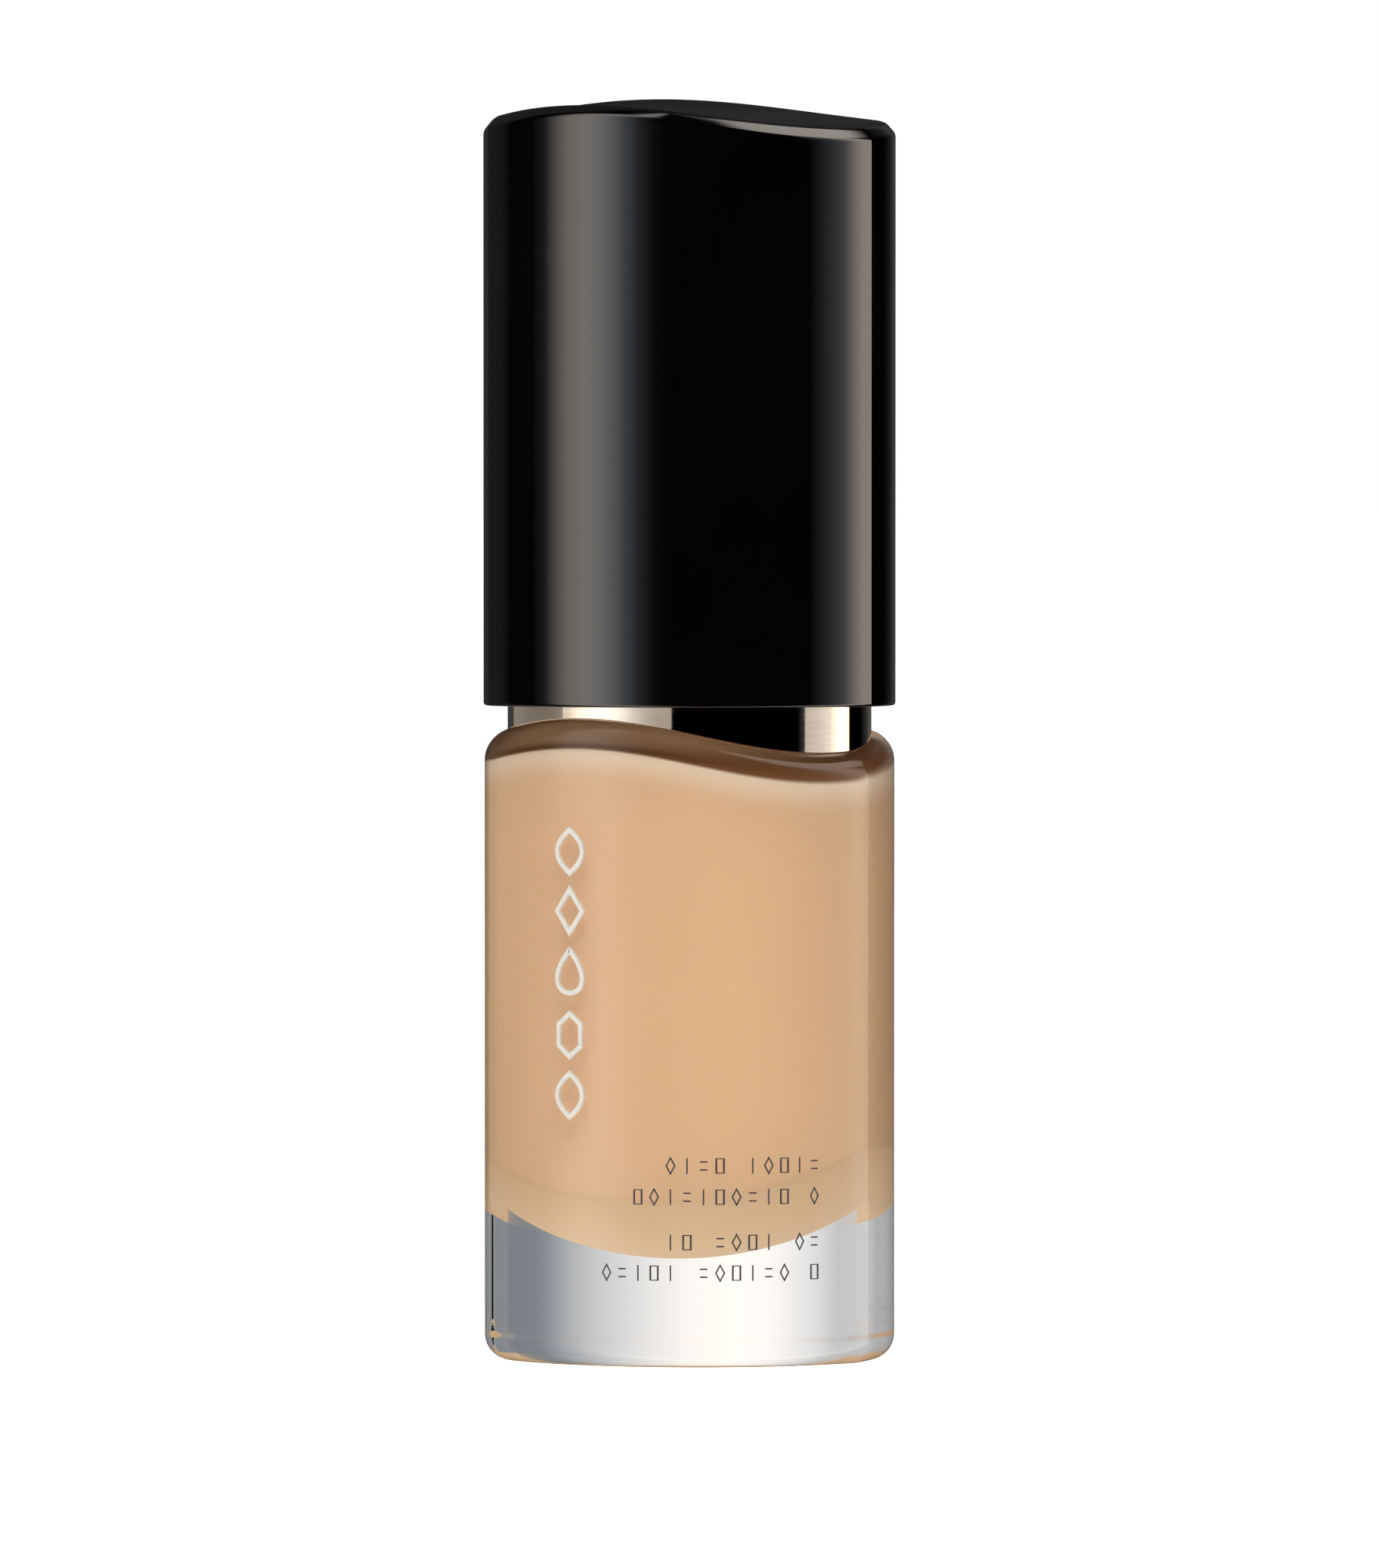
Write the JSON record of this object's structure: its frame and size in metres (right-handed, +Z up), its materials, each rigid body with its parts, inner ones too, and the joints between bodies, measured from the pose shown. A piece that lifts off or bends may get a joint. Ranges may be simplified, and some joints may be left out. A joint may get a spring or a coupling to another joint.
{
  "type": "liquid foundation bottle",
  "caption": "Clear thick-based cosmetic bottle of tan liquid with a wavy shoulder, bright metal collar, dispensing pump and tall gloss black pull-off cap.",
  "frame": {"origin": "middle of the flat base, on the surface the bottle stands on", "axes": "+Z up through the neck and pump, -Y out of the front face, +X to the right seen from the front"},
  "size_m": [0.0366, 0.0306, 0.1126],
  "materials": {
    "clear_glass": "clear polished",
    "foundation": null,
    "champagne_metal": "mirror-bright champagne anodised",
    "gloss_black": "high gloss black",
    "white_plastic": "moulded polypropylene",
    "black_plastic": "moulded polypropylene",
    "natural_plastic": "translucent polyethylene",
    "soft_seal": "soft elastomer",
    "steel": "drawn stainless"
  },
  "bodies": {
    "bottle": {"glass_bottle": "clear_glass", "foundation_fill": "foundation", "outer_collar": "champagne_metal", "collar_carrier": "black_plastic", "snap_closure": "black_plastic", "neck_gasket": "soft_seal", "pump_housing": "natural_plastic", "housing_lid": "white_plastic", "stem_seal": "soft_seal", "dip_tube": "natural_plastic", "ball_cage": "white_plastic", "return_spring": "steel"},
    "piston": {"piston_seal": "natural_plastic", "plunger_rod": "white_plastic", "pump_stem": "white_plastic"},
    "head": {"actuator_shell": "gloss_black", "actuator_core": "black_plastic", "nozzle_insert": "black_plastic"},
    "inlet_valve": {"inlet_ball": "steel"},
    "cap": {"cap_shell": "gloss_black", "cap_liner": "black_plastic"}
  },
  "joints": [
    {"name": "cap_pull", "type": "slide", "parent": "bottle", "child": "cap", "axis": [0, 0, 1], "range_m": [0, 0.045]},
    {"name": "pump_press", "type": "slide", "parent": "bottle", "child": "piston", "axis": [0, 0, -1], "range_m": [0, 0.0045], "stiffness_N_per_m": 500, "springref_m": -0.006, "deforming": ["return_spring"]},
    {"name": "head_turn", "type": "hinge", "parent": "piston", "child": "head", "pos_m": [0, 0, 0.08], "axis": [0, 0, 1], "continuous": true},
    {"name": "inlet_lift", "type": "slide", "parent": "bottle", "child": "inlet_valve", "axis": [0, 0, 1], "range_m": [0, 0.0008]}
  ]
}
